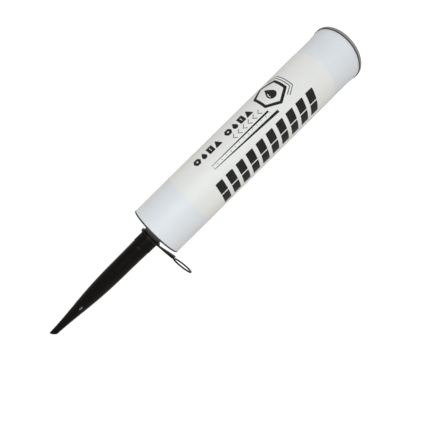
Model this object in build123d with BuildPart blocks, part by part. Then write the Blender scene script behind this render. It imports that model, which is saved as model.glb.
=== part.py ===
from build123d import *
from math import cos, degrees, radians, sin
import os

# Rubber filler cartridge for a hand caulking gun, with its screw-on nozzle.
#
# The cartridge stands on its rear seam with the nozzle up. The origin is on the
# tube's axis, in the plane that the seam stands on. +Z points at the nozzle's tip
# and -X points along the arm of the pull ring. All sizes are in millimetres.

# Tube: wound paperboard with a foil liner, flared at the rear
TUBE_R = 25.0
BOARD = 1.1
LINER = 0.15
FLARE = 0.4
FLARE_START_Z = 5.0
FLARE_END_Z = 12.0
TUBE_REAR_Z = 0.8
TUBE_FRONT_Z = 219.6
BORE_R = TUBE_R - BOARD - LINER

# Rear seam: a rolled ring of sheet metal, open below for the gun's push rod
SEAM_R = 25.95
SEAM_BORE_R = 23.7
SEAM_SHEET = 0.4
SEAM_FLOOR = 0.45
SEAM_HEIGHT = 3.0
SEAM_WALL_Z = 5.0
SEAM_CORNER_R = 0.9
SEAM_LIP_R = 0.25

# Label: one sheet round the tube, with a lap at the back
LABEL_REAR_Z = 30.5
LABEL_FRONT_Z = 182.0
LABEL_T = 0.15
LAP_WIDTH = 11.0
LAP_HEADING = 70.0

# Front cap: a moulded disc whose flange covers the tube's end, with a cone and a threaded neck
CAP_REAR_Z = 216.9
CAP_FACE_Z = 221.0
CAP_RIM_R = 23.7
CAP_GAP = 0.05
FLANGE_R = 25.0
FLANGE_ROUND = 0.5
RECESS_INNER_R = 13.5
RECESS_OUTER_R = 18.5
RECESS_Z = 220.0
CAP_RIBS = 8
CAP_RIB_W = 1.2
CAP_RIB_H = 0.8
CONE_BASE_R = 11.0
CONE_TOP_R = 8.2
CONE_FILLET_R = 0.8
SHOULDER_Z = 226.1
FUNNEL_R = 9.0
FUNNEL_TOP_Z = 224.5
NECK_CORE_R = 6.1
NECK_BORE_R = 4.4
NECK_TOP_Z = 238.5
NECK_CHAMFER = 0.4

# Screw thread between neck and nozzle: coarse, right-handed, trapezoidal
PITCH = 3.0
THREAD_ROOT_W = 1.5
THREAD_CREST_W = 0.7
THREAD_SUNK = 0.2
NECK_THREAD_H = 0.7
NECK_THREAD_Z = 228.2
NECK_TURNS = 3.0
NOZZLE_THREAD_H = 0.9
NOZZLE_THREAD_Z = NECK_THREAD_Z + PITCH / 2
NOZZLE_TURNS = 2.5

# Foil seal welded over the neck's mouth
SEAL_R = 5.6
SEAL_T = 0.12

# Pull ring: a flat ring round the nozzle's foot, a wedge-shaped arm and a finger ring
PULL_TOP_Z = 228.5
PULL_T = 1.9
PULL_HOLE_R = 7.9
PULL_RING_R = 10.3
ARM_DROOP = 7.0
ARM_ROOT_R = 9.6
ARM_L = 17.5
ARM_ROOT_W = 5.0
ARM_ROOT_T = 1.0
ARM_END_W = 9.0
ARM_END_T = 2.6
FINGER_C = 27.1
FINGER_R = 9.9
STRAND_W = 1.5
STRAND_T = 1.3
STRAND_ROUND = 0.4

# Nozzle: snap foot in the pull ring, ribbed collar, long taper and bevelled tip
FOOT_Z = 226.2
FOOT_R = 7.8
FOOT_LIP_R = 8.2
FOOT_LIP_Z = 226.5
COLLAR_Z = 228.6
COLLAR_TOP_Z = 239.2
COLLAR_R = 8.2
SOCKET_R = 7.2
SOCKET_TOP_Z = 240.0
GRIP_RIBS = 24
GRIP_RIB_R = 0.5
GRIP_MARGIN = 0.6
TIP_Z = 345.2
TIP_R = 2.7
TIP_BORE_R = 1.7
TIP_BORE_Z = 327.0
TIP_CUT_ANGLE = 34.0
TIP_CUT_HEADING = 167.0
WALL_CURVE = [(8.3, 240.4), (7.9, 262.0), (7.7, 277.0), (6.3, 302.0), (3.75, 328.3), (TIP_R, TIP_Z)]
BORE_CURVE = [(5.9, SOCKET_TOP_Z), (5.7, 277.0), (4.2, 304.0), (TIP_BORE_R, TIP_BORE_Z)]

# Gate pad moulded on the nozzle's taper
PAD_Z = 310.1
PAD_R = 5.45
PAD_W = 1.6
PAD_L = 4.4
PAD_PROUD = 0.3
PAD_DEPTH = 1.2
PAD_HEADING = -118.0

# Piston: a plunger open to the rear, with a wiping lip at each end
PISTON_REAR_Z = 22.8
PISTON_FRONT_Z = 42.3
PISTON_R = 23.35
LIP_R = 23.69
LIP_T = 1.4
LIP_SLOPE = 1.2
PISTON_WALL = 1.6
PISTON_FACE_T = 2.2
PISTON_CHAMFER = 0.7
WEBS = 6
WEB_T = 1.4
WEB_REAR_Z = 29.8
HUB_R = 6.0
HUB_WALL = 1.5

# Sealant charge between the piston and the foil seal
CHARGE_R = 23.7
CHARGE_GAP = 0.1

os.makedirs("parts", exist_ok=True)


def finish(builder, name):
    """Label a finished piece and write it as its own STEP file."""
    builder.part.label = name
    export_step(builder.part, f"parts/{name}.step")


def flared_section(inner_r, outer_r, top_z):
    """Half section of a tube wall that widens by FLARE near its rear end."""
    with BuildSketch(Plane.XZ) as section:
        with BuildLine():
            Polyline(
                (inner_r + FLARE, FLARE_START_Z),
                (inner_r + FLARE, TUBE_REAR_Z),
                (outer_r + FLARE, TUBE_REAR_Z),
                (outer_r + FLARE, FLARE_START_Z),
            )
            Spline(
                (outer_r + FLARE, FLARE_START_Z),
                (outer_r, FLARE_END_Z),
                tangents=((0, 1), (0, 1)),
            )
            Polyline((outer_r, FLARE_END_Z), (outer_r, top_z), (inner_r, top_z), (inner_r, FLARE_END_Z))
            Spline(
                (inner_r, FLARE_END_Z),
                (inner_r + FLARE, FLARE_START_Z),
                tangents=((0, -1), (0, -1)),
            )
        make_face()
    return section.sketch


def thread_ridge(helix_r, start_z, turns, height):
    """Helical ridge standing on helix_r, outwards for a positive height, inwards for a negative one."""
    outward = 1 if height > 0 else -1
    with BuildPart() as ridge:
        with BuildLine() as path:
            Helix(pitch=PITCH, height=PITCH * turns, radius=helix_r, center=(0, 0, start_z))
        with BuildSketch(Plane(origin=path.line @ 0, x_dir=(1, 0, 0), z_dir=path.line % 0)):
            with BuildLine():
                Polyline(
                    (-outward * THREAD_SUNK, -THREAD_ROOT_W / 2),
                    (height, -THREAD_CREST_W / 2),
                    (height, THREAD_CREST_W / 2),
                    (-outward * THREAD_SUNK, THREAD_ROOT_W / 2),
                    close=True,
                )
            make_face()
        sweep(path=path.line, is_frenet=True)
    return ridge.part


# Paperboard tube: straight wall with a flared rear edge
tube_wall = flared_section(TUBE_R - BOARD, TUBE_R, TUBE_FRONT_Z)
with BuildPart() as cartridge_tube:
    revolve(tube_wall, axis=Axis.Z)
finish(cartridge_tube, "cartridge_tube")

# Aluminium-foil liner, the innermost ply of the tube
liner_wall = flared_section(BORE_R, BORE_R + LINER, TUBE_FRONT_Z - CAP_GAP)
with BuildPart() as foil_liner:
    revolve(liner_wall, axis=Axis.Z)
finish(foil_liner, "foil_liner")

# Seam ring: a channel rolled round the tube's rear edge, with a flat land to stand on
with BuildPart() as seam_ring:
    with BuildSketch(Plane.XZ):
        with BuildLine():
            channel_r = SEAM_R - SEAM_SHEET
            corner_z = SEAM_CORNER_R
            corner_x = SEAM_R - SEAM_CORNER_R
            inner_corner = SEAM_CORNER_R - SEAM_SHEET
            lip_z = SEAM_HEIGHT - SEAM_LIP_R
            Line((SEAM_BORE_R, SEAM_WALL_Z), (SEAM_BORE_R, 0))
            Line((SEAM_BORE_R, 0), (corner_x, 0))
            CenterArc((corner_x, corner_z), SEAM_CORNER_R, -90, 90)
            Line((SEAM_R, corner_z), (SEAM_R, lip_z))
            CenterArc((SEAM_R - SEAM_LIP_R, lip_z), SEAM_LIP_R, 0, 90)
            Polyline(
                (SEAM_R - SEAM_LIP_R, SEAM_HEIGHT),
                (channel_r, SEAM_HEIGHT),
                (channel_r, SEAM_FLOOR + inner_corner),
            )
            CenterArc((channel_r - inner_corner, SEAM_FLOOR + inner_corner), inner_corner, 0, -90)
            Polyline(
                (channel_r - inner_corner, SEAM_FLOOR),
                (SEAM_BORE_R + SEAM_SHEET, SEAM_FLOOR),
                (SEAM_BORE_R + SEAM_SHEET, SEAM_WALL_Z),
                (SEAM_BORE_R, SEAM_WALL_Z),
            )
        make_face()
    revolve(axis=Axis.Z)
finish(seam_ring, "seam_ring")

# Lining compound that seals the tube's edge to the floor of the channel
with BuildPart() as seam_gasket:
    with BuildSketch(Plane.XY.offset(SEAM_FLOOR)):
        Circle(SEAM_R - SEAM_CORNER_R)
        Circle(SEAM_BORE_R + SEAM_SHEET + CAP_GAP, mode=Mode.SUBTRACT)
    extrude(amount=TUBE_REAR_Z - SEAM_FLOOR)
finish(seam_gasket, "seam_gasket")

# Label sheet, with a second layer where its ends lap
with BuildPart() as label_wrap:
    with BuildSketch(Plane.XY.offset(LABEL_REAR_Z)):
        Circle(TUBE_R + LABEL_T)
        Circle(TUBE_R, mode=Mode.SUBTRACT)
    extrude(amount=LABEL_FRONT_Z - LABEL_REAR_Z)
    with BuildSketch(Plane.XZ.rotated((0, 0, LAP_HEADING))):
        with Locations((TUBE_R + LABEL_T, (LABEL_REAR_Z + LABEL_FRONT_Z) / 2)):
            Rectangle(2 * LABEL_T, LABEL_FRONT_Z - LABEL_REAR_Z)
    revolve(axis=Axis.Z, revolution_arc=degrees(LAP_WIDTH / TUBE_R))
finish(label_wrap, "label_wrap")

# Front cap: flanged disc, ribbed recess, hollow cone, threaded neck
with BuildPart() as front_cap:
    with BuildSketch(Plane.XZ):
        with BuildLine():
            Polyline(
                (NECK_BORE_R, FUNNEL_TOP_Z),
                (NECK_BORE_R, NECK_TOP_Z),
                (NECK_CORE_R - NECK_CHAMFER, NECK_TOP_Z),
                (NECK_CORE_R, NECK_TOP_Z - NECK_CHAMFER),
                (NECK_CORE_R, SHOULDER_Z),
                (CONE_TOP_R, SHOULDER_Z),
                (CONE_BASE_R, CAP_FACE_Z),
                (RECESS_INNER_R, CAP_FACE_Z),
                (RECESS_INNER_R, RECESS_Z),
                (RECESS_OUTER_R, RECESS_Z),
                (RECESS_OUTER_R, CAP_FACE_Z),
                (FLANGE_R - FLANGE_ROUND, CAP_FACE_Z),
            )
            CenterArc((FLANGE_R - FLANGE_ROUND, CAP_FACE_Z - FLANGE_ROUND), FLANGE_ROUND, 90, -90)
            Polyline(
                (FLANGE_R, CAP_FACE_Z - FLANGE_ROUND),
                (FLANGE_R, TUBE_FRONT_Z),
                (CAP_RIM_R, TUBE_FRONT_Z),
                (CAP_RIM_R, CAP_REAR_Z),
                (FUNNEL_R, CAP_REAR_Z),
                (NECK_BORE_R, FUNNEL_TOP_Z),
            )
        make_face()
    revolve(axis=Axis.Z)
    cone_foot = front_cap.edges().filter_by(
        lambda e: e.geom_type == GeomType.CIRCLE and abs(e.radius - CONE_BASE_R) < CAP_GAP
    )
    fillet(cone_foot, CONE_FILLET_R)
    with BuildSketch(Plane.XY.offset(RECESS_Z)):
        with PolarLocations((RECESS_INNER_R + RECESS_OUTER_R) / 2, CAP_RIBS):
            Rectangle(RECESS_OUTER_R - RECESS_INNER_R + CAP_RIB_W / 2, CAP_RIB_W)
    extrude(amount=CAP_RIB_H)
    add(thread_ridge(NECK_CORE_R, NECK_THREAD_Z, NECK_TURNS, NECK_THREAD_H))
finish(front_cap, "front_cap")

# Foil seal over the neck's mouth
with BuildPart() as neck_seal:
    with BuildSketch(Plane.XY.offset(NECK_TOP_Z)):
        Circle(SEAL_R)
    extrude(amount=SEAL_T)
finish(neck_seal, "neck_seal")

# Pull ring: the arm droops from the flat ring, a wedge in side view and a taper in plan
with BuildPart() as pull_ring:
    droop = radians(ARM_DROOP)
    along = Vector(-cos(droop), 0, -sin(droop))
    upward = Vector(-sin(droop), 0, cos(droop))
    arm_root = Vector(-ARM_ROOT_R, 0, PULL_TOP_Z)
    arm_side = Plane(origin=arm_root, x_dir=along, z_dir=(0, 1, 0))
    arm_plan = Plane(origin=arm_root, x_dir=along, z_dir=upward)
    with BuildSketch(arm_side):
        with BuildLine():
            Polyline((0, 0), (ARM_L, 0), (ARM_L, -ARM_END_T), (0, -ARM_ROOT_T), close=True)
        make_face()
    extrude(amount=ARM_END_W, both=True)
    with BuildSketch(arm_plan.offset(-2 * ARM_END_T)):
        with BuildLine():
            Polyline(
                (0, ARM_ROOT_W / 2),
                (ARM_L, ARM_END_W / 2),
                (ARM_L, -ARM_END_W / 2),
                (0, -ARM_ROOT_W / 2),
                close=True,
            )
        make_face()
    extrude(amount=3 * ARM_END_T, mode=Mode.INTERSECT)
    fillet(pull_ring.faces().sort_by(Axis.X)[0].edges(), STRAND_ROUND)
    with BuildSketch(Plane.XY.offset(PULL_TOP_Z - PULL_T)):
        Circle(PULL_RING_R)
        Circle(PULL_HOLE_R, mode=Mode.SUBTRACT)
    extrude(amount=PULL_T)
    with BuildSketch(arm_side):
        with Locations((FINGER_C + FINGER_R - STRAND_W / 2, -STRAND_T / 2)):
            RectangleRounded(STRAND_W, STRAND_T, STRAND_ROUND)
    revolve(axis=Axis(arm_root + along * FINGER_C, upward))
finish(pull_ring, "pull_ring")

# Nozzle: turned shape first, then the bevel, the grip ribs, the gate pad and the thread
with BuildPart() as nozzle:
    with BuildSketch(Plane.XZ):
        with BuildLine():
            Polyline(
                (SOCKET_R, SOCKET_TOP_Z),
                (SOCKET_R, FOOT_Z),
                (FOOT_R, FOOT_Z),
                (FOOT_LIP_R, (FOOT_Z + FOOT_LIP_Z) / 2),
                (FOOT_LIP_R, FOOT_LIP_Z),
                (FOOT_R, FOOT_LIP_Z),
                (FOOT_R, COLLAR_Z),
                (COLLAR_R, COLLAR_Z),
                (COLLAR_R, COLLAR_TOP_Z),
                WALL_CURVE[0],
            )
            Spline(*WALL_CURVE)
            Polyline(WALL_CURVE[-1], (TIP_BORE_R, TIP_Z), BORE_CURVE[-1])
            Spline(*reversed(BORE_CURVE))
            Line(BORE_CURVE[0], (SOCKET_R, SOCKET_TOP_Z))
        make_face()
    revolve(axis=Axis.Z)
    cut_x = cos(radians(TIP_CUT_HEADING))
    cut_y = sin(radians(TIP_CUT_HEADING))
    tilt = radians(TIP_CUT_ANGLE)
    bevel = Plane(
        origin=(-TIP_R * cut_x, -TIP_R * cut_y, TIP_Z),
        z_dir=(sin(tilt) * cut_x, sin(tilt) * cut_y, cos(tilt)),
    )
    split(bisect_by=bevel, keep=Keep.BOTTOM)
    with BuildSketch(Plane.XY.offset(COLLAR_Z + GRIP_MARGIN)):
        with PolarLocations(COLLAR_R - GRIP_RIB_R / 3, GRIP_RIBS):
            Circle(GRIP_RIB_R)
    extrude(amount=COLLAR_TOP_Z - COLLAR_Z - 2 * GRIP_MARGIN)
    pad_x = cos(radians(PAD_HEADING))
    pad_y = sin(radians(PAD_HEADING))
    pad_r = PAD_R + PAD_PROUD
    pad_plane = Plane(
        origin=(pad_r * pad_x, pad_r * pad_y, PAD_Z), x_dir=(-pad_y, pad_x, 0), z_dir=(pad_x, pad_y, 0)
    )
    with BuildSketch(pad_plane):
        RectangleRounded(PAD_W, PAD_L, PAD_W / 4)
    extrude(amount=-PAD_DEPTH)
    add(thread_ridge(SOCKET_R, NOZZLE_THREAD_Z, NOZZLE_TURNS, -NOZZLE_THREAD_H))
finish(nozzle, "nozzle")

# Piston: cup open to the rear, webs between hub and wall, a wiping lip at each end
with BuildPart() as piston:
    with BuildSketch(Plane.XZ):
        with BuildLine():
            Polyline(
                (0, PISTON_FRONT_Z),
                (PISTON_R - PISTON_CHAMFER, PISTON_FRONT_Z),
                (LIP_R, PISTON_FRONT_Z - PISTON_CHAMFER),
                (LIP_R, PISTON_FRONT_Z - PISTON_CHAMFER - LIP_T),
                (PISTON_R, PISTON_FRONT_Z - PISTON_CHAMFER - LIP_T - LIP_SLOPE),
                (PISTON_R, PISTON_REAR_Z + LIP_T + LIP_SLOPE),
                (LIP_R, PISTON_REAR_Z + LIP_T),
                (LIP_R, PISTON_REAR_Z),
                (PISTON_R - PISTON_WALL, PISTON_REAR_Z),
                (PISTON_R - PISTON_WALL, PISTON_FRONT_Z - PISTON_FACE_T),
                (0, PISTON_FRONT_Z - PISTON_FACE_T),
                close=True,
            )
        make_face()
    revolve(axis=Axis.Z)
    with BuildSketch(Plane.XY.offset(WEB_REAR_Z)):
        with PolarLocations((HUB_R + PISTON_R) / 2, WEBS):
            Rectangle(PISTON_R - HUB_R - PISTON_WALL / 2, WEB_T)
        Circle(HUB_R)
        Circle(HUB_R - HUB_WALL, mode=Mode.SUBTRACT)
    extrude(amount=PISTON_FRONT_Z - PISTON_FACE_T - WEB_REAR_Z)
finish(piston, "piston")

# Sealant charge: fills the bore, the cone's funnel and the neck up to the foil seal
with BuildPart() as sealant:
    with BuildSketch(Plane.XZ):
        with BuildLine():
            Polyline(
                (0, PISTON_FRONT_Z + CHARGE_GAP),
                (CHARGE_R, PISTON_FRONT_Z + CHARGE_GAP),
                (CHARGE_R, CAP_REAR_Z),
                (FUNNEL_R - CHARGE_GAP, CAP_REAR_Z),
                (NECK_BORE_R - CHARGE_GAP, FUNNEL_TOP_Z),
                (NECK_BORE_R - CHARGE_GAP, NECK_TOP_Z),
                (0, NECK_TOP_Z),
                close=True,
            )
        make_face()
    revolve(axis=Axis.Z)
finish(sealant, "sealant")
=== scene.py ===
import math

import bpy
from mathutils import Matrix, Vector, noise
from mathutils.geometry import delaunay_2d_cdt


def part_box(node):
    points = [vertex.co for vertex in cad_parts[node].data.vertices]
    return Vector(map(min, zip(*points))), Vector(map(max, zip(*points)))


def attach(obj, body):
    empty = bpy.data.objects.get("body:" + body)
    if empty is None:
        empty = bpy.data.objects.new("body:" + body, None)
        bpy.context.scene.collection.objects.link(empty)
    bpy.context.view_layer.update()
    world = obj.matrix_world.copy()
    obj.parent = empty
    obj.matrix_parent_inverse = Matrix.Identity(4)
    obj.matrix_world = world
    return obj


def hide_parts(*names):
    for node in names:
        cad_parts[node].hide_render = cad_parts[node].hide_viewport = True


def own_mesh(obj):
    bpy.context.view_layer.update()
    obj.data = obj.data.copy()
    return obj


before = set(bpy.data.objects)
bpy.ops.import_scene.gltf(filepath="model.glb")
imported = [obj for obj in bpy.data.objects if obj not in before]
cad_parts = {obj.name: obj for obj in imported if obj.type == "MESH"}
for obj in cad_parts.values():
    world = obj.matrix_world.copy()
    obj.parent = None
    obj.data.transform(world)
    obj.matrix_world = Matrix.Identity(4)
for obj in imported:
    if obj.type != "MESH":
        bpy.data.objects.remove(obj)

# Rubber filler cartridge for a hand caulking gun. It stands on its rear seam with the
# nozzle up. Lengths are in metres, and in millimetres where the flat label is laid out.

MM = 0.001
FULL_TURN = 2 * math.pi
# Most of a noise texture's values lie between these two
NOISE_LOW, NOISE_HIGH = 0.3, 0.7
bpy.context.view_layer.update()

# Camera: level with the tube's upper half, rolled so that the nozzle points down left
CAMERA_HEADING = math.radians(-102.75)
CAMERA_DISTANCE = 284.7 * MM
CAMERA_HEIGHT = 180.5 * MM
CAMERA_AIM = Vector((-25.09, 3.37, 174.92)) * MM
CAMERA_ROLL = math.radians(-134.72)
CAMERA_LENS = 27.53


# ---------------------------------------------------------------- node helpers

class Material:
    """A procedural material: its nodes are added with short calls."""

    def __init__(self, name):
        self.material = bpy.data.materials.new(name)
        self.material.use_nodes = True
        self.tree = self.material.node_tree
        self.shader = self.tree.nodes["Principled BSDF"]
        self.place = self.node("ShaderNodeTexCoord").outputs["Object"]

    def node(self, kind, **settings):
        made = self.tree.nodes.new(kind)
        for key, value in settings.items():
            setattr(made, key, value)
        return made

    def link(self, source, target):
        self.tree.links.new(source, target)

    def feed(self, socket, value):
        """Joins a socket to another node's output, or sets its value."""
        if isinstance(value, bpy.types.NodeSocket):
            self.link(value, socket)
        else:
            socket.default_value = value

    def set(self, **values):
        """Sets the shader's own sockets; an underscore stands for a space in their names."""
        for key, value in values.items():
            self.shader.inputs[key.replace("_", " ")].default_value = value

    def math(self, operation, first, second=0.0):
        made = self.node("ShaderNodeMath", operation=operation)
        self.feed(made.inputs[0], first)
        self.feed(made.inputs[1], second)
        return made.outputs[0]

    def stretch(self, vector, scale):
        made = self.node("ShaderNodeMapping")
        self.link(vector, made.inputs["Vector"])
        made.inputs["Scale"].default_value = scale
        return made.outputs[0]

    def noise(self, scale, detail, roughness, vector=None, distortion=0.0):
        """A noise texture; its scale is the number of its lumps in a metre."""
        made = self.node("ShaderNodeTexNoise")
        self.link(vector or self.place, made.inputs["Vector"])
        made.inputs["Scale"].default_value = scale
        made.inputs["Detail"].default_value = detail
        made.inputs["Roughness"].default_value = roughness
        made.inputs["Distortion"].default_value = distortion
        return made.outputs[0]

    def span(self, value, low, high, out_low, out_high, smooth=False):
        """Maps low..high onto out_low..out_high and stops at both ends."""
        kind = "SMOOTHSTEP" if smooth else "LINEAR"
        made = self.node("ShaderNodeMapRange", interpolation_type=kind)
        self.link(value, made.inputs["Value"])
        for socket, number in zip(made.inputs[1:5], (low, high, out_low, out_high)):
            socket.default_value = number
        return made.outputs[0]

    def even(self, noise, low=0.0, high=1.0):
        """Spreads a noise's usual range over low to high."""
        return self.span(noise, NOISE_LOW, NOISE_HIGH, low, high)

    def blend(self, share, first, second):
        made = self.node("ShaderNodeMix", data_type="RGBA")
        self.feed(made.inputs["Factor"], share)
        for socket, value in ((made.inputs[6], first), (made.inputs[7], second)):
            if isinstance(value, tuple):
                value = (*value, 1.0)
            self.feed(socket, value)
        return made.outputs[2]

    def colour(self, source):
        self.link(source, self.shader.inputs["Base Color"])

    def roughness(self, source):
        self.link(source, self.shader.inputs["Roughness"])

    def bumps(self, *layers):
        """Each layer is (height output, depth in metres, strength)."""
        normal = None
        for height, depth, strength in layers:
            made = self.node("ShaderNodeBump")
            made.inputs["Strength"].default_value = strength
            made.inputs["Distance"].default_value = depth
            self.link(height, made.inputs["Height"])
            if normal is not None:
                self.link(normal, made.inputs["Normal"])
            normal = made.outputs[0]
        self.link(normal, self.shader.inputs["Normal"])

    def polar(self):
        """Heading in turns, distance from the axis and height, all of the row frame."""
        parts = self.node("ShaderNodeSeparateXYZ")
        self.link(self.place, parts.inputs[0])
        x, y, z = parts.outputs
        turns = self.math("DIVIDE", self.math("ARCTAN2", y, x), FULL_TURN)
        squares = self.math("ADD", self.math("MULTIPLY", x, x), self.math("MULTIPLY", y, y))
        return turns, self.math("SQRT", squares), z

    def ringed(self, turns, radius, z, round_scale):
        """A vector that hardly changes round the axis: texture on it runs in rings."""
        made = self.node("ShaderNodeCombineXYZ")
        self.link(self.math("MULTIPLY", turns, round_scale), made.inputs[0])
        self.link(radius, made.inputs[1])
        self.link(z, made.inputs[2])
        return made.outputs[0]


def paint(node, material):
    """Puts one material on every slot of a CAD node."""
    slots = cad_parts[node].data.materials
    slots.clear()
    slots.append(material)


# ---------------------------------------------------------------- materials

BARE_WHITE, BARE_SHADE = (0.735, 0.76, 0.81), (0.705, 0.733, 0.788)
LABEL_WHITE, LABEL_SHADE = (0.79, 0.788, 0.788), (0.765, 0.763, 0.763)
BOARD_BROWN, BOARD_PALE = (0.36, 0.27, 0.19), (0.47, 0.37, 0.27)
# Depth and strength of the paper's slow waves, which the ink on it follows
PAPER_WAVES = (0.12 * MM, 0.35)

# The tube's board is bare inside this radius. Its outer ply is wound with this pitch, and
# the joint between its turns is a groove that reaches this share of a turn to each side.
TUBE_SKIN_R = 24.6 * MM
PLY_PITCH = 118 * MM
PLY_JOINT_SHARE = 0.0035
PLY_JOINT_DEPTH = 0.03 * MM


def paper_surface(m, tone, shade, fibre_depth):
    """Smooth coated paper: faint clouding, a fine tooth and a soft, slightly uneven gloss."""
    cloud = m.noise(38, 4, 0.6)
    fleck = m.noise(900, 2, 0.5)
    mottled = m.blend(m.span(cloud, 0.35, 0.7, 0.0, 1.0), tone, shade)
    colour = m.blend(m.span(fleck, 0.66, 0.8, 0.0, 0.35), mottled, tuple(0.86 * c for c in tone))
    m.roughness(m.even(m.noise(70, 3, 0.6), 0.4, 0.52))
    tooth = m.noise(2600, 3, 0.6)
    waves = m.noise(55, 2, 0.5)
    return colour, [(waves, *PAPER_WAVES), (tooth, fibre_depth, 0.5)]


def tube_material():
    """White coated outer ply, wound at a slant, over bare grey-brown board."""
    m = Material("wound_tube_white")
    turns, radius, z = m.polar()
    white, bumps = paper_surface(m, BARE_WHITE, BARE_SHADE, 0.012 * MM)
    board = m.blend(m.even(m.noise(1500, 4, 0.7)), BOARD_BROWN, BOARD_PALE)
    outside = m.span(radius, TUBE_SKIN_R - 0.2 * MM, TUBE_SKIN_R, 0.0, 1.0)
    m.colour(m.blend(outside, board, white))
    wound = m.math("ADD", turns, m.math("DIVIDE", z, PLY_PITCH))
    off_joint = m.math("ABSOLUTE", m.math("SUBTRACT", m.math("FRACT", wound), 0.5))
    joint = m.span(off_joint, 0.0, PLY_JOINT_SHARE, 0.0, 1.0, smooth=True)
    m.bumps((joint, PLY_JOINT_DEPTH, 0.6), *bumps)
    m.set(Coat_Weight=0.12, Coat_Roughness=0.3, Specular_IOR_Level=0.45)
    return m.material


def label_material():
    """Coated label paper, a warmer white than the tube."""
    m = Material("label_paper_white")
    colour, bumps = paper_surface(m, LABEL_WHITE, LABEL_SHADE, 0.015 * MM)
    m.colour(colour)
    m.bumps(*bumps)
    m.set(Coat_Weight=0.08, Coat_Roughness=0.35, Specular_IOR_Level=0.42)
    return m.material


def ink_material(name, tone, shade):
    """Printing ink on the label's paper: slightly uneven density, smoother than the paper."""
    m = Material(name)
    density = m.span(m.noise(260, 5, 0.65), 0.35, 0.72, 0.0, 1.0)
    specks = m.span(m.noise(1900, 2, 0.5), 0.7, 0.78, 0.0, 0.5)
    m.colour(m.blend(specks, m.blend(density, tone, shade), tuple(c + 0.06 for c in tone)))
    m.roughness(m.even(m.noise(120, 3, 0.6), 0.33, 0.46))
    m.bumps((m.noise(55, 2, 0.5), *PAPER_WAVES), (m.noise(2600, 3, 0.6), 0.01 * MM, 0.4))
    m.set(Specular_IOR_Level=0.22)
    return m.material


# The seam's upper lip darkens over this depth: painted shade of the gap next to the tube, partly
# grime
SEAM_LIP_Z = 2.6 * MM
LIP_SHADE_AND_GRIME_DEPTH = 0.5 * MM
TINPLATE, TINPLATE_SCUFFED = (0.52, 0.515, 0.51), (0.38, 0.375, 0.37)
LIP_SHADE_AND_GRIME = (0.06, 0.058, 0.055)
ROLLING_WANDER = 0.0012


def seam_metal():
    """Rolled tinplate: fine lines from the seaming roll, light scuffs, and a dark band of painted
    shade mixed with grime along the upper lip, where it meets the tube.
    """
    m = Material("seam_tinplate")
    turns, radius, z = m.polar()
    rings = m.noise(9000, 2, 0.6, m.ringed(turns, radius, z, ROLLING_WANDER))
    scuffs = m.span(m.noise(420, 4, 0.7, m.stretch(m.place, (1, 1, 3))), 0.52, 0.75, 0.0, 1.0)
    plate = m.blend(scuffs, TINPLATE, TINPLATE_SCUFFED)
    # Painted shade, partly grime: the metal darkens towards the upper lip, next to the tube
    lip_shade_and_grime = m.span(z, SEAM_LIP_Z - LIP_SHADE_AND_GRIME_DEPTH, SEAM_LIP_Z, 0.0, 1.0, smooth=True)
    m.colour(m.blend(lip_shade_and_grime, plate, LIP_SHADE_AND_GRIME))
    m.roughness(m.math("ADD", m.even(rings, 0.16, 0.3), m.math("MULTIPLY", scuffs, 0.12)))
    m.bumps((rings, 0.008 * MM, 0.6), (m.noise(160, 2, 0.5), 0.06 * MM, 0.3))
    m.set(Metallic=1.0)
    return m.material


def foil_material(name, tone):
    """Thin aluminium foil with a fine crumple."""
    m = Material(name)
    crumple = m.noise(520, 5, 0.65, distortion=0.6)
    m.colour(m.blend(m.even(crumple), tone, tuple(0.86 * c for c in tone)))
    m.roughness(m.even(m.noise(1100, 3, 0.6), 0.2, 0.36))
    m.bumps((crumple, 0.09 * MM, 0.5), (m.noise(3000, 2, 0.5), 0.01 * MM, 0.5))
    m.set(Metallic=1.0)
    return m.material


def gasket_material():
    """Matt grey rubbery compound."""
    m = Material("lining_compound_grey")
    grain = m.noise(1800, 4, 0.6)
    m.colour(m.blend(m.even(grain), (0.30, 0.31, 0.30), (0.22, 0.23, 0.22)))
    m.roughness(m.even(m.noise(400, 3, 0.6), 0.55, 0.75))
    m.bumps((grain, 0.03 * MM, 0.6))
    return m.material


STREAK_STRETCH = 0.16
SCRATCH_STRETCH = 0.12


def moulded_plastic(name, tone, worn, gloss, grain_depth, dust=0.0):
    """Moulded polythene: a fine sparked grain, cloudy gloss, flow streaks along the part.

    Gives the material and its colour, which the caller joins up or paints over.
    """
    m = Material(name)
    streaks = m.noise(210, 4, 0.6, m.stretch(m.place, (1, 1, STREAK_STRETCH)))
    rubbed = m.span(m.noise(130, 5, 0.7, distortion=0.4), 0.5, 0.78, 0.0, 1.0)
    base = m.blend(m.even(streaks, 0.0, 0.6), tone, worn)
    base = m.blend(m.math("MULTIPLY", rubbed, 0.75), base, worn)
    if dust:
        specks = m.span(m.noise(1300, 3, 0.6), 0.68, 0.8, 0.0, dust)
        base = m.blend(specks, base, tuple(c + 0.16 for c in worn))
    low, high = gloss
    m.roughness(m.span(m.noise(95, 4, 0.65), 0.3, 0.72, low, high))
    lengthwise = m.stretch(m.place, (1, 1, SCRATCH_STRETCH))
    scratches = m.span(m.noise(700, 3, 0.7, lengthwise), 0.6, 0.75, 0.0, 1.0)
    m.bumps(
        (m.noise(85, 2, 0.5), 0.1 * MM, 0.25),
        (scratches, 0.012 * MM, 0.35),
        (m.noise(4200, 2, 0.6), grain_depth, 0.6),
    )
    return m, base


def cap_material():
    """Dark grey, satin and a little dusty."""
    m, base = moulded_plastic(
        "cap_plastic_grey",
        tone=(0.042, 0.040, 0.038), worn=(0.070, 0.066, 0.062),
        gloss=(0.42, 0.56), grain_depth=0.02 * MM, dust=0.3,
    )
    m.colour(base)
    m.set(Specular_IOR_Level=0.3)
    return m.material


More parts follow.
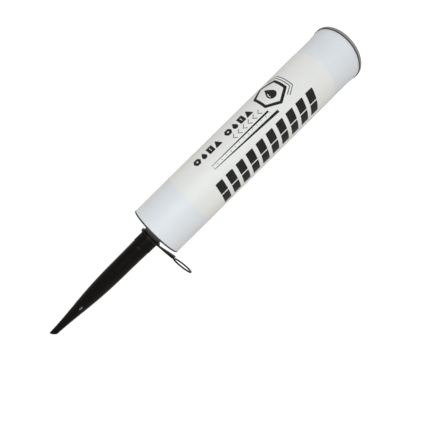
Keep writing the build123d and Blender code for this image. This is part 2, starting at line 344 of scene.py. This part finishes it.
# The oval pad near the nozzle's tip, coloured pale as a painted highlight where light glints on it
PAD_HEADING = math.radians(-118)
PAD_R = 5.6
PAD_CENTRE = Vector((PAD_R * math.cos(PAD_HEADING), PAD_R * math.sin(PAD_HEADING), 310.1)) * MM
PAD_HALF_WIDTH = 0.85 * MM
PAD_HALF_LENGTH = 2.0 * MM
PAD_GLINT_PALE = (0.15, 0.145, 0.14)


def nozzle_material():
    """Soft black plastic; the small pad left by the mould's gate is painted pale, a painted
    highlight.
    """
    m, base = moulded_plastic(
        "nozzle_plastic_black",
        tone=(0.0010, 0.0008, 0.0006), worn=(0.0034, 0.0028, 0.0022),
        gloss=(0.24, 0.36), grain_depth=0.012 * MM, dust=0.06,
    )
    offset = m.node("ShaderNodeVectorMath", operation="SUBTRACT")
    m.link(m.place, offset.inputs[0])
    offset.inputs[1].default_value = PAD_CENTRE
    scale = (1 / PAD_HALF_WIDTH, 1 / PAD_HALF_WIDTH, 1 / PAD_HALF_LENGTH)
    length = m.node("ShaderNodeVectorMath", operation="LENGTH")
    m.link(m.stretch(offset.outputs[0], scale), length.inputs[0])
    # Painted highlight: the pad's oval is coloured pale as if light glinted on it
    on_glint_pad = m.span(length.outputs["Value"], 0.75, 1.15, 1.0, 0.0, smooth=True)
    m.colour(m.blend(on_glint_pad, base, PAD_GLINT_PALE))
    m.set(Specular_IOR_Level=0.11)
    return m.material


def pull_ring_material():
    """Soft black plastic, a touch browner than the nozzle's."""
    m, base = moulded_plastic(
        "pull_ring_plastic_black",
        tone=(0.0035, 0.003, 0.0026), worn=(0.009, 0.007, 0.006),
        gloss=(0.22, 0.36), grain_depth=0.01 * MM, dust=0.2,
    )
    m.colour(base)
    m.set(Specular_IOR_Level=0.16)
    return m.material


def piston_material():
    """Natural polythene: milky, with light passing a little way in."""
    m, base = moulded_plastic(
        "piston_plastic_natural",
        tone=(0.70, 0.70, 0.66), worn=(0.62, 0.62, 0.58),
        gloss=(0.38, 0.52), grain_depth=0.015 * MM,
    )
    m.colour(base)
    m.set(Subsurface_Weight=0.25, Subsurface_Scale=2 * MM)
    return m.material


PASTE_DARK, PASTE_LIGHT = (0.012, 0.012, 0.013), (0.024, 0.023, 0.023)


def sealant_material():
    """Thick black paste with a lumpy, half-glossy skin."""
    m = Material("rubber_paste_black")
    lumps = m.noise(240, 5, 0.6, distortion=0.8)
    m.colour(m.blend(m.even(lumps), PASTE_DARK, PASTE_LIGHT))
    m.roughness(m.even(m.noise(600, 3, 0.6), 0.24, 0.44))
    m.bumps((lumps, 0.3 * MM, 0.6), (m.noise(1700, 3, 0.6), 0.04 * MM, 0.4))
    return m.material


def placed(name, data):
    """A new object in the scene that shows this mesh, light or camera."""
    made = bpy.data.objects.new(name, data)
    bpy.context.collection.objects.link(made)
    return made


# ---------------------------------------------------------------- label artwork
# All in millimetres: x runs from the label's front edge to its rear edge, y runs round
# the tube from the middle of the printed face, rising anticlockwise as the nozzle sees it.
# Every outline runs anticlockwise on the flat sheet.

FACE_HEADING = math.radians(-102.8)
ROUND_STEPS = 40
CORNER_STEPS = 4


def slab(x0, y0, x1, y1, lean=0.0):
    """A block whose far edge in y is shifted along x by lean."""
    return [(x0, y0), (x1, y0), (x1 + lean, y1), (x0 + lean, y1)]


def regular(x, y, radius, sides, tilt=0.0):
    """A regular polygon's corners."""
    turn = FULL_TURN / sides
    headings = [tilt + i * turn for i in range(sides)]
    return [(x + radius * math.cos(a), y + radius * math.sin(a)) for a in headings]


def disc(x, y, radius):
    return regular(x, y, radius, ROUND_STEPS)


def hexagon(x, y, radius, tilt=0.0):
    return regular(x, y, radius, 6, tilt)


def rounded(corners, radius):
    """The outline through these corners with each one cut round."""
    outline = []
    count = len(corners)
    for i, corner in enumerate(corners):
        here = Vector(corner)
        before = (Vector(corners[i - 1]) - here).normalized()
        after = (Vector(corners[(i + 1) % count]) - here).normalized()
        half = before.angle(after) / 2
        reach = radius / math.tan(half)
        centre = here + (before + after).normalized() * (radius / math.sin(half))
        start = here + before * reach - centre
        end = here + after * reach - centre
        for k in range(CORNER_STEPS + 1):
            spoke = start.lerp(end, k / CORNER_STEPS).normalized() * radius
            outline.append(tuple(centre + spoke))
    return outline


def droplet(x, y, height):
    """A drop that points towards rising y."""
    radius = height / 3
    belly = math.radians(35)
    steps = ROUND_STEPS // 2
    outline = [(x, y + height - radius)]
    for i in range(steps + 1):
        angle = math.pi - belly + (math.pi + 2 * belly) * i / steps
        outline.append((x + radius * math.cos(angle), y + radius * math.sin(angle)))
    return outline


def band(points, width):
    """A thin closed strip along a chain of points, width measured square to it."""
    sides = ([], [])
    for i, point in enumerate(points):
        before = Vector(points[max(i - 1, 0)])
        after = Vector(points[min(i + 1, len(points) - 1)])
        along = (after - before).normalized()
        across = Vector((-along.y, along.x)) * width / 2
        sides[0].append(tuple(Vector(point) + across))
        sides[1].append(tuple(Vector(point) - across))
    return sides[1] + sides[0][::-1]


TREAD_START = 20.5
TREAD_PITCH = 11.35
TREAD_BLOCKS = 10
TREAD_MIDDLE = -17.5
TREAD_RISE = 0.018
TREAD_HALF = 10.8
TREAD_GAP = 0.5
LUG_LENGTH = 7.5
LUG_STAGGER = 1.5
LUG_LEAN = 1.4
LUG_CORNER = 0.6


def tread_marks():
    """Wide double row of heavy leaning lugs, like a rolled-out tread."""
    marks = []
    for i in range(TREAD_BLOCKS):
        x = TREAD_START + i * TREAD_PITCH
        y = TREAD_MIDDLE + TREAD_RISE * (x - TREAD_START)
        for start, low, high in (
            (x + LUG_STAGGER, y + TREAD_GAP, y + TREAD_HALF),
            (x, y - TREAD_HALF, y - TREAD_GAP),
        ):
            lug = slab(start, low, start + LUG_LENGTH, high, LUG_LEAN)
            marks.append(rounded(lug, LUG_CORNER))
    return marks


ICON_START = 26.3
ICON_PITCH = 7.35
ICON_GAP = 5.2
ICON_MIDDLE = 17.8
ICON_HALF = 3.6
ICON_GROUP = 4
NUT_HOLE_R = 0.85
TIN_HALF = 3.0
TIN_SLOT_HALF_WIDTH, TIN_SLOT_HALF_HEIGHT = 0.3, 1.7
TRIANGLE_HALF = 3.5


def icon_marks():
    """Row of small bold workshop signs in two groups of four: nut, drop, tin, triangle."""
    marks = []
    middle, half = ICON_MIDDLE, ICON_HALF
    for i in range(2 * ICON_GROUP):
        group, kind = divmod(i, ICON_GROUP)
        x = ICON_START + i * ICON_PITCH + group * ICON_GAP
        if kind == 0:
            marks.append(rounded(hexagon(x, middle, half + 0.1), 0.3))
            marks.append(disc(x, middle, NUT_HOLE_R))
        elif kind == 1:
            marks.append(droplet(x, middle - 1.1, 2 * half))
        elif kind == 2:
            wide, tall = TIN_SLOT_HALF_WIDTH, TIN_SLOT_HALF_HEIGHT
            marks.append(rounded(slab(x - TIN_HALF, middle - half, x + TIN_HALF, middle + half), 0.6))
            marks.append(slab(x - wide, middle - tall, x + wide, middle + tall))
        else:
            foot = middle - half
            corners = [(x - TRIANGLE_HALF, foot), (x + TRIANGLE_HALF, foot), (x, middle + half)]
            marks.append(rounded(corners, 0.4))
    return marks


CHEVRON_START = 60.0
CHEVRON_PITCH = 5.5
CHEVRON_MIDDLE = 10.3
CHEVRON_COUNT = 6
CHEVRON_LENGTH = 2.6
CHEVRON_HALF = 2.3
CHEVRON_STROKE = 0.85


def chevron_marks():
    """Thin grey arrowheads that point at the nozzle, the way the filler flows."""
    marks = []
    for i in range(CHEVRON_COUNT):
        tip = CHEVRON_START + i * CHEVRON_PITCH
        tail = tip + CHEVRON_LENGTH
        high, low = CHEVRON_MIDDLE + CHEVRON_HALF, CHEVRON_MIDDLE - CHEVRON_HALF
        marks.append(band([(tail, high), (tip, CHEVRON_MIDDLE), (tail, low)], CHEVRON_STROKE))
    return marks


GAUGE_START = 31.7
GAUGE_END = 94.5
GAUGE_TICKS = 13
TICK_TOP = 4.6
TICK_WIDTH = 0.4


def gauge_marks():
    """A fill scale: two slim wedges that grow to the rear, with ticks between them."""
    marks = [[(GAUGE_START, 5.7), (GAUGE_END, 5.0), (GAUGE_END, 6.7), (GAUGE_START, 6.1)]]
    step = (GAUGE_END - GAUGE_START) / GAUGE_TICKS
    for i in range(GAUGE_TICKS + 1):
        x = GAUGE_START + i * step
        depth = 1.5 if i % 4 == 0 else 0.9
        marks.append(slab(x, TICK_TOP - depth, x + TICK_WIDTH, TICK_TOP))
    rear = GAUGE_END + 6
    marks.append([(GAUGE_START, 2.35), (rear, -0.9), (rear, 1.5), (GAUGE_START, 2.8)])
    return marks


BADGE_X = 106.8
BADGE_Y = 16.5
BADGE_R = 14.3
BADGE_TILT = math.radians(30)
BADGE_STROKE = 2.9


def badge_marks():
    """Six-sided badge with a drop in it; a short gleam is left white in the drop."""
    x, y = BADGE_X, BADGE_Y
    return [
        rounded(hexagon(x, y, BADGE_R, BADGE_TILT), 1.6),
        rounded(hexagon(x, y, BADGE_R - BADGE_STROKE, BADGE_TILT), 1.1),
        droplet(x, y - 2.0, 13.0),
        band([(x - 2.4, y - 3.6), (x - 2.6, y - 1.4), (x - 1.5, y + 0.8)], 0.7),
    ]


def badge_outline_marks():
    """Two thin part outlines round the badge, on its rear side."""
    marks = []
    for radius in (BADGE_R + 2.2, BADGE_R + 4.6):
        corners = hexagon(BADGE_X, BADGE_Y, radius, BADGE_TILT)
        chain = [corners[4], corners[5], corners[0], corners[1]]
        first = Vector(chain[0]).lerp(Vector(chain[1]), 0.55)
        last = Vector(chain[3]).lerp(Vector(chain[2]), 0.55)
        marks.append(band([tuple(first), chain[1], chain[2], tuple(last)], 0.9))
    return marks


# Each column's front end and its longest rule
NOTE_COLUMNS = ((24.0, 46.0), (80.0, 42.0))
NOTE_LINES = 13
NOTE_FIRST_Y = 39.0
NOTE_PITCH = 2.15
NOTE_STROKE = 0.75


def note_marks():
    """Plain grey rules in two columns on the label's far side, where fine print would go."""
    marks = []
    for column, (start, longest) in enumerate(NOTE_COLUMNS):
        for i in range(NOTE_LINES):
            y = NOTE_FIRST_Y + i * NOTE_PITCH
            length = longest * (0.72 + 0.28 * math.sin(1.9 * i + 2.3 * column + 0.8))
            marks.append(slab(start, y, start + length, y + NOTE_STROKE))
    return marks


PANEL_X0, PANEL_X1 = 22.0, 126.0
PANEL_Y0, PANEL_Y1 = -64.0, -40.0
PANEL_STROKE = 0.7
SIGN_FIRST_X = 34.0
SIGN_PITCH = 16.0
SIGN_Y = -52.0
SIGN_R = 6.4
SIGN_STROKE = 0.9
RULE_LINES = 8
RULE_X = 76.0
RULE_FIRST_Y = -61.0
RULE_LONGEST = 44.0
RULE_PITCH = 2.4
RULE_STROKE = 0.9


def side_panel_marks():
    """Plain framed panel on the label's other far side: three round signs and some rules."""
    x0, x1 = PANEL_X0 + PANEL_STROKE, PANEL_X1 - PANEL_STROKE
    y0, y1 = PANEL_Y0 + PANEL_STROKE, PANEL_Y1 - PANEL_STROKE
    marks = [
        rounded(slab(PANEL_X0, PANEL_Y0, PANEL_X1, PANEL_Y1), 2.0),
        rounded(slab(x0, y0, x1, y1), 1.5),
    ]
    first, second, third = (SIGN_FIRST_X + i * SIGN_PITCH for i in range(3))
    for x in (first, second, third):
        marks.append(disc(x, SIGN_Y, SIGN_R))
        marks.append(disc(x, SIGN_Y, SIGN_R - SIGN_STROKE))
    marks.append(droplet(first, SIGN_Y - 1.0, 6.0))
    marks.append(rounded(hexagon(second, SIGN_Y, 3.4), 0.4))
    foot = SIGN_Y - 2.4
    marks.append(rounded([(third - 2.6, foot), (third + 2.6, foot), (third, SIGN_Y + 3.1)], 0.5))
    for i in range(RULE_LINES):
        y = RULE_FIRST_Y + RULE_PITCH * i
        length = RULE_LONGEST * (0.8 + 0.2 * math.sin(2.1 * i + 0.4))
        marks.append(slab(RULE_X, y, RULE_X + length, y + RULE_STROKE))
    return marks


# ---------------------------------------------------------------- label sheet
# Still in millimetres: wrap() takes a place on the flat sheet to the tube, in metres.

LAP_HEADING = math.radians(70)
LAP_WIDTH = 11.0
LABEL_THICK = 0.13
LAP_RISE = 0.16
LAP_RAMP = 1.6
GRID_ROUND = 1.25
GRID_ALONG = 2.75
CUT_TOLERANCE = 1e-5
PAPER, BLACK, GREY = 0, 1, 2

label_low, label_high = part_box("label_wrap")
LABEL_R = label_high.x / MM
LABEL_FRONT = label_high.z / MM
LABEL_LENGTH = (label_high.z - label_low.z) / MM
ROUND_LENGTH = FULL_TURN * LABEL_R + LAP_WIDTH
FACE_OFFSET = ((FACE_HEADING - LAP_HEADING) % FULL_TURN) * LABEL_R

# Creases and puckers: x, y, half length, half width, height, slant, all in millimetres
CREASES = (
    (139.0, 23.0, 9.0, 0.9, 0.16, 0.10),
    (120.0, 31.0, 14.0, 1.3, 0.10, -0.06),
    (12.0, -20.0, 8.0, 1.1, 0.09, 0.12),
    (143.0, -14.0, 5.0, 1.4, 0.12, -0.2),
    (7.0, 14.0, 5.5, 1.2, 0.08, -0.15),
    (70.0, -58.0, 20.0, 1.6, 0.10, 0.03),
)
UNEVEN_RISE = 0.035


def swell(x, y):
    """How far creases and unevenness lift the sheet at a place."""
    height = 0.0
    for cx, cy, long, wide, rise, slant in CREASES:
        dx = (x - cx) / long
        dy = (y - cy - slant * (x - cx)) / wide
        height += rise * math.exp(-dx * dx - dy * dy)
    slow = noise.noise(Vector((x * 0.045, y * 0.06, 3.7)))
    return height + UNEVEN_RISE * (slow + 1.0)


def standing(x, y):
    """Distance of the sheet's outer side from the axis; it climbs over its own edge at the lap."""
    past = (y + FACE_OFFSET) - (ROUND_LENGTH - LAP_WIDTH - LAP_RAMP)
    share = min(max(past / LAP_RAMP, 0.0), 1.0)
    return LABEL_R + LAP_RISE * share * share * (3 - 2 * share) + swell(x, y)


def wrap(x, y, distance):
    """A place on the flat sheet, brought round the tube at a distance from the axis."""
    heading = FACE_HEADING + y / LABEL_R
    place = (distance * math.cos(heading), distance * math.sin(heading), LABEL_FRONT - x)
    return Vector(place) * MM


def facing(x, y):
    """The outer side's normal, from the slopes of its height."""
    small = 0.05
    heading = FACE_HEADING + y / LABEL_R
    out = Vector((math.cos(heading), math.sin(heading), 0))
    side = Vector((-math.sin(heading), math.cos(heading), 0))
    slope_y = (standing(x, y + small) - standing(x, y - small)) / (2 * small)
    slope_x = (standing(x + small, y) - standing(x - small, y)) / (2 * small)
    return (out - side * slope_y + Vector((0, 0, 1)) * slope_x).normalized()


def finely(outline):
    """The same outline in steps short enough to follow the tube's curve."""
    points = []
    for i, corner in enumerate(outline):
        start = Vector(corner)
        end = Vector(outline[(i + 1) % len(outline)])
        steps = max(1, math.ceil(abs(end.y - start.y) / GRID_ROUND))
        points += [tuple(start.lerp(end, k / steps)) for k in range(steps)]
    return points


def cut_sheet():
    """The flat sheet in triangles, cut along its artwork: points, triangles, ink of each.

    Marks of one ink that lie over each other cut each other out.
    """
    across = math.ceil(ROUND_LENGTH / GRID_ROUND)
    along = math.ceil(LABEL_LENGTH / GRID_ALONG)

    def grid(i, j):
        return (LABEL_LENGTH * i / along, ROUND_LENGTH * j / across - FACE_OFFSET)

    border = [(i, 0) for i in range(along)] + [(along, j) for j in range(across)]
    border += [(i, across) for i in range(along, 0, -1)] + [(0, j) for j in range(across, 0, -1)]
    points = [grid(i, j) for i, j in border]
    outlines = [list(range(len(points)))]
    inks = [PAPER]
    black_marks = tread_marks() + icon_marks() + gauge_marks() + badge_marks()
    grey_marks = chevron_marks() + badge_outline_marks() + note_marks() + side_panel_marks()
    for ink, marks in ((BLACK, black_marks), (GREY, grey_marks)):
        for outline in marks:
            start = len(points)
            points.extend(finely(outline))
            outlines.append(list(range(start, len(points))))
            inks.append(ink)
    points += [grid(i, j) for i in range(1, along) for j in range(1, across)]
    flat = [Vector(p) for p in points]
    keep_inside = 1
    cut, _, triangles, _, _, sources = delaunay_2d_cdt(flat, [], outlines, keep_inside, CUT_TOLERANCE)
    printed = []
    for source in sources:
        over = [inks[s] for s in source]
        odd = [ink for ink in (BLACK, GREY) if over.count(ink) % 2]
        printed.append(odd[0] if odd else PAPER)
    return cut, triangles, printed


def label_sheet(paper, black, grey):
    """The printed sheet: one mesh cut along its artwork, wrapped round the tube."""
    cut, triangles, printed = cut_sheet()
    heights = [standing(p.x, p.y) for p in cut]
    outer = [wrap(p.x, p.y, h) for p, h in zip(cut, heights)]
    inner = [wrap(p.x, p.y, h - LABEL_THICK) for p, h in zip(cut, heights)]
    normals = [facing(p.x, p.y) for p in cut]
    count = len(cut)
    outside = [tuple(face) for face in triangles]
    inside = [tuple(v + count for v in reversed(face)) for face in outside]
    edges = [edge for face in outside for edge in zip(face, face[1:] + face[:1])]
    used = set(edges)
    rim = [(b, a, a + count, b + count) for a, b in dict.fromkeys(edges) if (b, a) not in used]
    faces = outside + inside + rim
    slots = printed + [PAPER] * (len(faces) - len(printed))

    mesh = bpy.data.meshes.new("label_sheet")
    mesh.from_pydata(outer + inner, [], faces)
    for material in (paper, black, grey):
        mesh.materials.append(material)
    mesh.polygons.foreach_set("material_index", slots)
    mesh.polygons.foreach_set("use_smooth", [True] * len(faces))
    mesh.update()
    if mesh.polygons[0].normal.dot(normals[faces[0][0]]) < 0:
        mesh.flip_normals()
    corner_normals = []
    for polygon in mesh.polygons:
        for corner in polygon.loop_indices:
            v = mesh.loops[corner].vertex_index
            if polygon.index < len(outside):
                corner_normals.append(normals[v])
            elif polygon.index < len(outside) + len(inside):
                corner_normals.append(-normals[v - count])
            else:
                corner_normals.append(polygon.normal)
    mesh.normals_split_custom_set(corner_normals)
    made = placed("label_sheet", mesh)
    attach(made, "cartridge")
    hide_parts("label_wrap")


# ---------------------------------------------------------------- sealant

TURN_STEPS = 96
SHARP_EDGE = math.radians(35)


def turned(name, profile, material, body):
    """A closed turned solid from (radius, height) pairs that start and end on the axis."""
    points = [Vector((0, 0, profile[0][1]))]
    rings = profile[1:-1]
    for r, z in rings:
        for k in range(TURN_STEPS):
            angle = FULL_TURN * k / TURN_STEPS
            points.append(Vector((r * math.cos(angle), r * math.sin(angle), z)))
    points.append(Vector((0, 0, profile[-1][1])))
    faces = []
    for k in range(TURN_STEPS):
        after = (k + 1) % TURN_STEPS
        faces.append((0, 1 + after, 1 + k))
        for ring in range(len(rings) - 1):
            a = 1 + ring * TURN_STEPS
            b = a + TURN_STEPS
            faces.append((a + k, a + after, b + after, b + k))
        top = 1 + (len(rings) - 1) * TURN_STEPS
        faces.append((top + k, top + after, len(points) - 1))
    mesh = bpy.data.meshes.new(name)
    mesh.from_pydata(points, [], faces)
    mesh.materials.append(material)
    mesh.validate()
    mesh.update()
    made = placed(name, mesh)
    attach(made, body)
    mesh.polygons.foreach_set("use_smooth", [True] * len(faces))
    mesh.set_sharp_from_angle(angle=SHARP_EDGE)
    return made


# Play between the paste and the piston, the liner and the cap or seal in front of it
REAR_PLAY = 0.1 * MM
SIDE_PLAY = 0.03 * MM
FRONT_PLAY = 0.05 * MM
CHARGE_CORNER = 0.5 * MM

# The neck's fill narrows through the cap's funnel to the neck's bore
FUNNEL_MOUTH_R = 8.9 * MM
FUNNEL_TOP_Z = 224.4 * MM
NECK_R = 4.35 * MM
NECK_CORNER = 0.55 * MM


def sealant_pieces(material):
    """The charge behind the cap, up to the piston, and the neck's fill."""
    low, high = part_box("sealant")
    cap_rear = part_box("front_cap")[0].z
    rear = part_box("piston")[1].z + REAR_PLAY
    front = cap_rear - FRONT_PLAY
    radius = high.x - SIDE_PLAY
    charge = turned("sealant_charge", [
        (0, rear), (radius / 2, rear), (radius - CHARGE_CORNER, rear), (radius, rear + CHARGE_CORNER),
        (radius, (rear + cap_rear) / 2), (radius, cap_rear - CHARGE_CORNER),
        (radius - CHARGE_CORNER, front), (radius / 2, front), (0, front),
    ], material, "cartridge")
    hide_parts("sealant")
    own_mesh(charge)
    top = high.z - FRONT_PLAY
    neck = turned("sealant_neck", [
        (0, cap_rear), (4.0 * MM, cap_rear), (FUNNEL_MOUTH_R, cap_rear), (NECK_R, FUNNEL_TOP_Z),
        (NECK_R, top - NECK_CORNER), (NECK_R - NECK_CORNER, top), (0, top),
    ], material, "cartridge")


# ---------------------------------------------------------------- stage, light, camera

def aim(thing, place, target, roll=0.0):
    """Puts a light or camera at a place, looking at a target, turned about that line."""
    thing.location = place
    gaze = (target - place).to_track_quat("-Z", "Y")
    thing.rotation_mode = "QUATERNION"
    thing.rotation_quaternion = gaze @ Matrix.Rotation(roll, 4, "Z").to_quaternion()


WORLD_LIGHT = 0.66
WORLD_TINT = (1.0, 0.95, 0.88, 1.0)
BACKDROP = 1.05
FLOOR_TONE = (0.82, 0.82, 0.82, 1.0)
FLOOR_LIFT = 0.8
FLOOR_HALF = 30.0
LIGHT_TARGET = Vector((0, 0, 0.17))

# Name, heading in degrees from the camera's, height, distance, size, watts, tint
LIGHTS = (
    ("front_soft", 5, 0.15, 1.0, (0.8, 0.29), 4.0, (0.84, 0.95, 1.0)),
    ("side_soft", -65, 0.45, 1.1, (0.5, 0.9), 0.6, (1.0, 0.98, 0.95)),
    ("back_soft", 160, 0.6, 1.2, (0.8, 0.8), 1.0, (1.0, 0.99, 0.97)),
)


def soft_light(name, heading, height, distance, size, power, tint):
    lamp = bpy.data.lights.new(name, "AREA")
    lamp.shape = "RECTANGLE"
    lamp.size, lamp.size_y = size
    lamp.energy = power
    lamp.color = tint
    angle = CAMERA_HEADING + math.radians(heading)
    place = Vector((distance * math.cos(angle), distance * math.sin(angle), height))
    aim(placed(name, lamp), place, LIGHT_TARGET)


def surroundings():
    """A warm white room that the object sees, and a plain white backdrop behind it."""
    world = bpy.data.worlds.new("white_room")
    bpy.context.scene.world = world
    world.use_nodes = True
    tree = world.node_tree
    room = tree.nodes["Background"]
    room.inputs["Color"].default_value = WORLD_TINT
    room.inputs["Strength"].default_value = WORLD_LIGHT
    backdrop = tree.nodes.new("ShaderNodeBackground")
    backdrop.inputs["Color"].default_value = (1, 1, 1, 1)
    backdrop.inputs["Strength"].default_value = BACKDROP
    rays = tree.nodes.new("ShaderNodeLightPath")
    either = tree.nodes.new("ShaderNodeMixShader")
    tree.links.new(rays.outputs["Is Camera Ray"], either.inputs[0])
    tree.links.new(room.outputs[0], either.inputs[1])
    tree.links.new(backdrop.outputs[0], either.inputs[2])
    tree.links.new(either.outputs[0], tree.nodes["World Output"].inputs["Surface"])


def pale_floor():
    """A matt pale floor, lifted nearly to white where it is seen directly."""
    m = Material("floor_white")
    m.set(Base_Color=FLOOR_TONE, Roughness=0.9, Specular_IOR_Level=0.1)
    rays = m.node("ShaderNodeLightPath")
    glow = m.node("ShaderNodeEmission")
    m.link(m.math("MULTIPLY", rays.outputs["Is Camera Ray"], FLOOR_LIFT), glow.inputs["Strength"])
    total = m.node("ShaderNodeAddShader")
    m.link(m.shader.outputs[0], total.inputs[0])
    m.link(glow.outputs[0], total.inputs[1])
    m.link(total.outputs[0], m.tree.nodes["Material Output"].inputs["Surface"])
    half = FLOOR_HALF
    mesh = bpy.data.meshes.new("floor")
    corners = [(-half, -half, 0), (half, -half, 0), (half, half, 0), (-half, half, 0)]
    mesh.from_pydata(corners, [], [(0, 1, 2, 3)])
    mesh.materials.append(m.material)
    placed("floor", mesh)


def camera():
    data = bpy.data.cameras.new("camera")
    data.lens = CAMERA_LENS
    data.clip_start = 10 * MM
    data.clip_end = 100
    made = placed("camera", data)
    place = Vector((math.cos(CAMERA_HEADING), math.sin(CAMERA_HEADING), 0)) * CAMERA_DISTANCE
    place.z = CAMERA_HEIGHT
    aim(made, place, CAMERA_AIM, CAMERA_ROLL)
    bpy.context.scene.camera = made


bpy.context.scene.view_settings.view_transform = "Standard"

paint("cartridge_tube", tube_material())
paint("seam_ring", seam_metal())
paint("foil_liner", foil_material("liner_aluminium", (0.80, 0.80, 0.80)))
paint("neck_seal", foil_material("seal_aluminium", (0.83, 0.83, 0.84)))
paint("seam_gasket", gasket_material())
paint("front_cap", cap_material())
paint("nozzle", nozzle_material())
paint("pull_ring", pull_ring_material())
paint("piston", piston_material())

label_sheet(
    label_material(),
    ink_material("label_ink_black", (0.009, 0.0085, 0.009), (0.016, 0.0155, 0.016)),
    ink_material("label_ink_grey", (0.13, 0.135, 0.14), (0.18, 0.185, 0.19)),
)
sealant_pieces(sealant_material())

surroundings()
pale_floor()
for light in LIGHTS:
    soft_light(*light)
camera()
